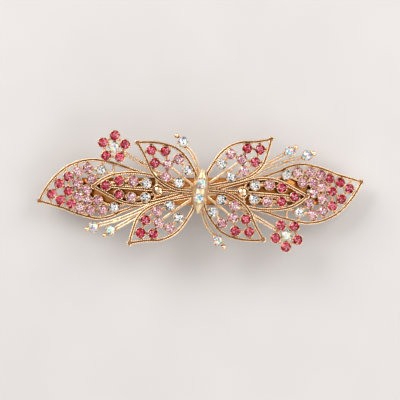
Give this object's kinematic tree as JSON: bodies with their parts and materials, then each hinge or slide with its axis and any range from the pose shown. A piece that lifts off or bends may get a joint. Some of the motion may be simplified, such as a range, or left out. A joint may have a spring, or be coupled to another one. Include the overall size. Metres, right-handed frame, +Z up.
{
  "type": "rhinestone hair clip",
  "caption": "Arched spring hair clip with a hinged clasp arm and pinch catch, carrying an open-work butterfly and leaf ornament set with claw-held rhinestones.",
  "frame": {"origin": "On the table under the middle of the clip: the centre of the underside of the whole box", "axes": "+X along the clip from the hinge end to the catch end, +Y across it, +Z up from the clasp arm to the stones"},
  "size_m": [0.0968, 0.0358, 0.019],
  "materials": {
    "gold_casting": "polished champagne gold plating on a white metal casting",
    "satin_gold_casting": "satin champagne gold plating",
    "copper_plated_steel": "bright orange gold plating on sheet steel",
    "spring_steel": "bright nickel-plated spring steel",
    "rose_stone": "foil-backed faceted glass",
    "light_rose_stone": "foil-backed faceted glass",
    "crystal_stone": "foil-backed faceted glass",
    "aurora_stone": "foil-backed faceted glass with a rainbow coating"
  },
  "bodies": {
    "base": {"barrette_plate": "copper_plated_steel", "hinge_pin": "spring_steel", "bow_spring": "spring_steel", "catch_bracket": "spring_steel", "catch_rivet": "spring_steel", "leaf_rivets": "gold_casting", "centre_rivet": "spring_steel", "centre_hub": "gold_casting", "large_leaf_left": "gold_casting", "large_leaf_right": "gold_casting", "inner_leaf_left": "gold_casting", "inner_leaf_right": "gold_casting", "wing_upper_left": "gold_casting", "wing_upper_right": "gold_casting", "wing_lower_left": "gold_casting", "wing_lower_right": "gold_casting", "butterfly_body": "satin_gold_casting", "flower_left": "gold_casting", "flower_right": "gold_casting", "spray_left": "gold_casting", "spray_right": "gold_casting", "sprig_top": "gold_casting", "sprig_bottom": "gold_casting", "large_leaf_left_rose": "rose_stone", "large_leaf_left_light_rose": "light_rose_stone", "large_leaf_left_crystal": "crystal_stone", "large_leaf_right_rose": "rose_stone", "large_leaf_right_light_rose": "light_rose_stone", "large_leaf_right_crystal": "crystal_stone", "inner_leaf_left_rose": "rose_stone", "inner_leaf_left_light_rose": "light_rose_stone", "inner_leaf_left_crystal": "crystal_stone", "inner_leaf_right_rose": "rose_stone", "inner_leaf_right_light_rose": "light_rose_stone", "inner_leaf_right_crystal": "crystal_stone", "wing_upper_left_rose": "rose_stone", "wing_upper_left_light_rose": "light_rose_stone", "wing_upper_left_crystal": "crystal_stone", "wing_upper_right_rose": "rose_stone", "wing_upper_right_light_rose": "light_rose_stone", "wing_upper_right_crystal": "crystal_stone", "wing_lower_left_rose": "rose_stone", "wing_lower_left_light_rose": "light_rose_stone", "wing_lower_left_crystal": "crystal_stone", "wing_lower_right_rose": "rose_stone", "wing_lower_right_light_rose": "light_rose_stone", "wing_lower_right_crystal": "crystal_stone", "flower_left_petals": "rose_stone", "flower_left_centre": "aurora_stone", "flower_right_petals": "rose_stone", "flower_right_centre": "aurora_stone", "body_stones": "aurora_stone", "spray_left_stones": "aurora_stone", "spray_right_stones": "aurora_stone", "sprig_stones": "aurora_stone"},
    "clasp_arm": {"clasp_arm": "copper_plated_steel"},
    "catch_prong_front": {"catch_prong_front": "spring_steel"},
    "catch_prong_rear": {"catch_prong_rear": "spring_steel"}
  },
  "joints": [
    {"name": "clasp_hinge", "type": "hinge", "parent": "base", "child": "clasp_arm", "pos_m": [-0.0332, 0, 0.0015], "axis": [0, 1, 0], "range_deg": [0, 80], "deforming": ["bow_spring"]},
    {"name": "catch_pinch_rear", "type": "hinge", "parent": "base", "child": "catch_prong_rear", "pos_m": [0.032, 0.0014, 0.0057], "axis": [-1, 0, 0], "range_deg": [0, 6], "stiffness_Nm_per_rad": 0.002},
    {"name": "catch_pinch_front", "type": "hinge", "parent": "base", "child": "catch_prong_front", "pos_m": [0.032, -0.0014, 0.0057], "axis": [1, 0, 0], "range_deg": [0, 6], "stiffness_Nm_per_rad": 0.002}
  ],
  "couplings": [
    {"joint": "catch_pinch_front", "follows": "catch_pinch_rear", "ratio": 1}
  ]
}
